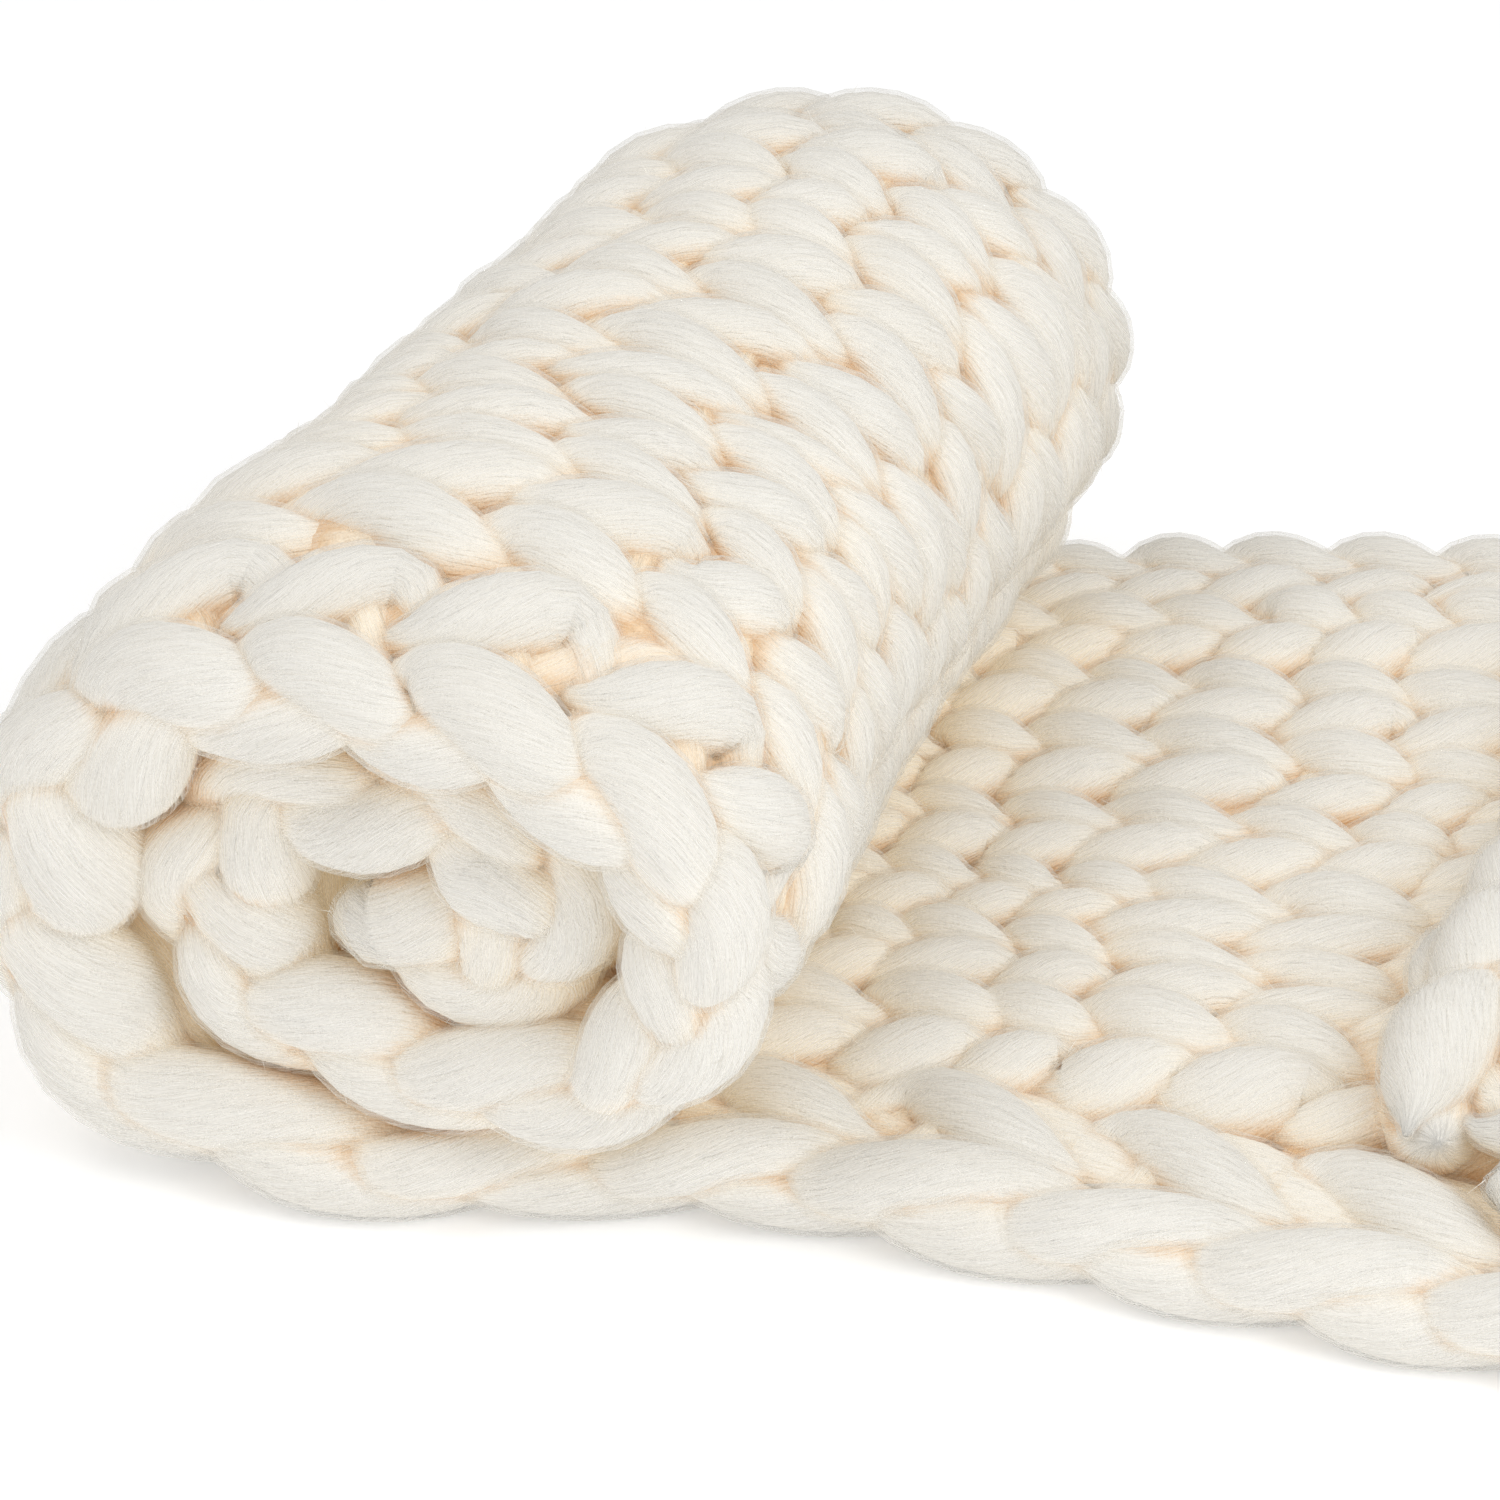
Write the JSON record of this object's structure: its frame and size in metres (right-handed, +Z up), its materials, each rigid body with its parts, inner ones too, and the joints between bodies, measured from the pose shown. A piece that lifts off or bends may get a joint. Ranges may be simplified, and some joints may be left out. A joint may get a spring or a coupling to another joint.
{
  "type": "chunky knit blanket",
  "caption": "Cream chunky knit throw of thick roving yarn, rolled up at one end and laid out flat at the other, with its far end folded back.",
  "frame": {"origin": "on the floor, under the middle of the blanket's box", "axes": "+X along the throw from the roll to the folded-back end, +Y along the roll's axis away from its open near end, +Z up"},
  "size_m": [0.8822, 0.8218, 0.3273],
  "materials": {
    "yarn": "soft matt cream wool-like roving with a short fuzzy halo"
  },
  "bodies": {
    "root": {"blanket": "yarn"}
  },
  "joints": []
}
